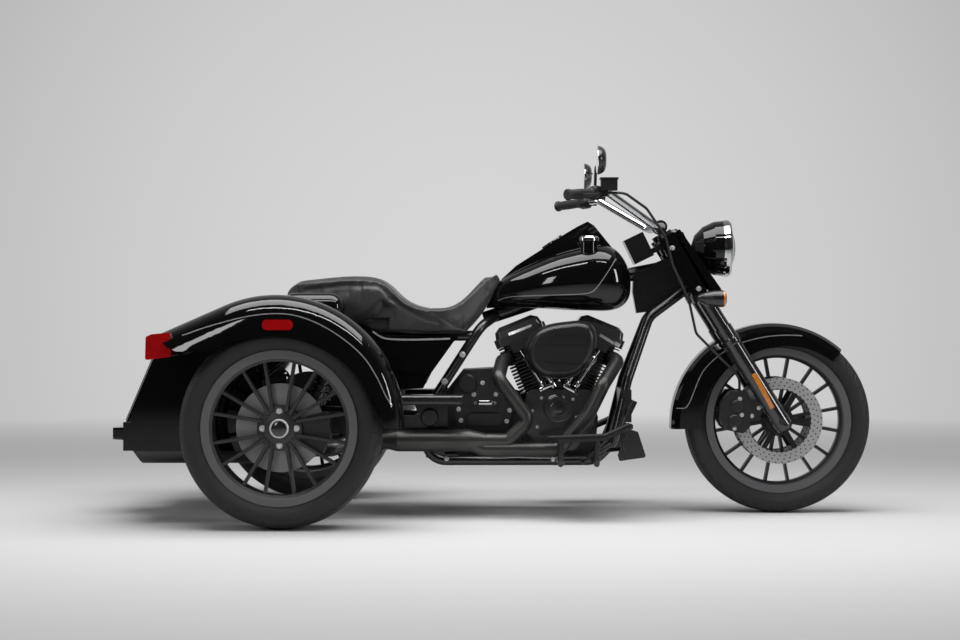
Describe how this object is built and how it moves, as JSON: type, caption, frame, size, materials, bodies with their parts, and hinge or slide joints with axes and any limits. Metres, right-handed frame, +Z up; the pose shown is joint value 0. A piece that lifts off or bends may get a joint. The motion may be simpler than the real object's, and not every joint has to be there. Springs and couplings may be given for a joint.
{
  "type": "motorized trike",
  "caption": "Three-wheeled motor trike: steered front wheel, V-twin engine open to view, saddle, two rear wheels under fenders and a trunk.",
  "frame": {"origin": "on the ground, midway along the length, in the middle plane", "axes": "+X forward, +Y to the rider's left, +Z up"},
  "size_m": [2.6043, 1.3906, 1.2349],
  "materials": {
    "black_paint": "gloss black powder coat",
    "black_cast": "satin black cast metal",
    "engine_black": "satin black engine paint",
    "engine_satin": "gloss black engine covers",
    "chrome": "polished chrome",
    "gloss_cover": "gloss black",
    "exhaust_black": "satin black heat-proof coat",
    "belt_rubber": "toothed belt",
    "body_gloss": "deep gloss black with grey pinstripes",
    "seat_vinyl": "black grained vinyl",
    "liner_plastic": "moulded liner",
    "red_lens": "red lens",
    "amber_lens": "amber lens",
    "clear_lens": "clear headlamp lens",
    "pad_rubber": "ribbed rubber",
    "fork_black": "gloss black fork sliders",
    "grip_rubber": "soft black grip",
    "mirror": "silvered glass",
    "hose_rubber": "black hose",
    "tyre": "black tyre rubber",
    "wheel_alloy": "dark grey cast alloy, lighter lip",
    "disc_steel": "brushed disc"
  },
  "bodies": {
    "chassis": {"frame": "black_paint", "rear_axle": "black_cast", "swingarm": "black_paint", "shock_absorbers": "black_paint", "crankcase": "engine_black", "cam_cover": "engine_satin", "cylinders": "engine_black", "cylinder_heads": "engine_black", "rocker_boxes": "engine_satin", "pushrod_tubes": "chrome", "gearbox": "engine_black", "primary_cover": "engine_satin", "intake": "black_cast", "air_cleaner": "gloss_cover", "exhaust_pipes": "exhaust_black", "mufflers": "exhaust_black", "drive_belt": "belt_rubber", "fuel_tank": "body_gloss", "tank_console": "body_gloss", "fuel_cap": "chrome", "seat": "seat_vinyl", "side_covers": "body_gloss", "rear_body": "body_gloss", "trunk_tub": "liner_plastic", "rear_valance": "body_gloss", "rear_fenders": "body_gloss", "rear_lamps": "red_lens", "footboards": "black_paint", "footboard_pads": "pad_rubber", "board_brackets": "black_paint", "passenger_rests": "black_paint", "foot_controls": "black_paint", "oil_cooler": "engine_black", "rear_calipers": "black_cast"},
    "steering": {"fork_clamps": "black_paint", "fork_tubes": "chrome", "fork_sliders": "fork_black", "fork_covers": "body_gloss", "headlamp_shell": "body_gloss", "headlamp_ring": "chrome", "headlamp_lens": "clear_lens", "handlebar": "chrome", "grips": "grip_rubber", "hand_controls": "black_cast", "mirrors": "black_paint", "mirror_glass": "mirror", "turn_signals": "black_paint", "signal_lenses": "amber_lens", "front_fender": "body_gloss", "front_calipers": "black_cast", "brake_hose": "hose_rubber"},
    "front_wheel": {"front_tyre": "tyre", "front_wheel": "wheel_alloy", "front_discs": "disc_steel"},
    "rear_wheel_right": {"rear_tyre_right": "tyre", "rear_wheel_right": "wheel_alloy"},
    "rear_wheel_left": {"rear_tyre_left": "tyre", "rear_wheel_left": "wheel_alloy"},
    "trunk_door": {"trunk_door": "body_gloss"}
  },
  "joints": [
    {"name": "steering", "type": "hinge", "parent": "chassis", "child": "steering", "pos_m": [0.67625, 0, 0.848], "axis": [-0.4384, 0, 0.8988], "range_deg": [-35, 35]},
    {"name": "front_wheel_spin", "type": "hinge", "parent": "steering", "child": "front_wheel", "pos_m": [0.98285, 0, 0.3193], "axis": [0, 1, 0], "continuous": true},
    {"name": "rear_wheel_right_spin", "type": "hinge", "parent": "chassis", "child": "rear_wheel_right", "pos_m": [-0.68215, -0.553, 0.3253], "axis": [0, 1, 0], "continuous": true},
    {"name": "rear_wheel_left_spin", "type": "hinge", "parent": "chassis", "child": "rear_wheel_left", "pos_m": [-0.68215, 0.553, 0.3253], "axis": [0, 1, 0], "continuous": true},
    {"name": "trunk_door_hinge", "type": "hinge", "parent": "chassis", "child": "trunk_door", "pos_m": [-1.21915, 0, 0.337], "axis": [0, -1, 0], "range_deg": [0, 100]}
  ]
}
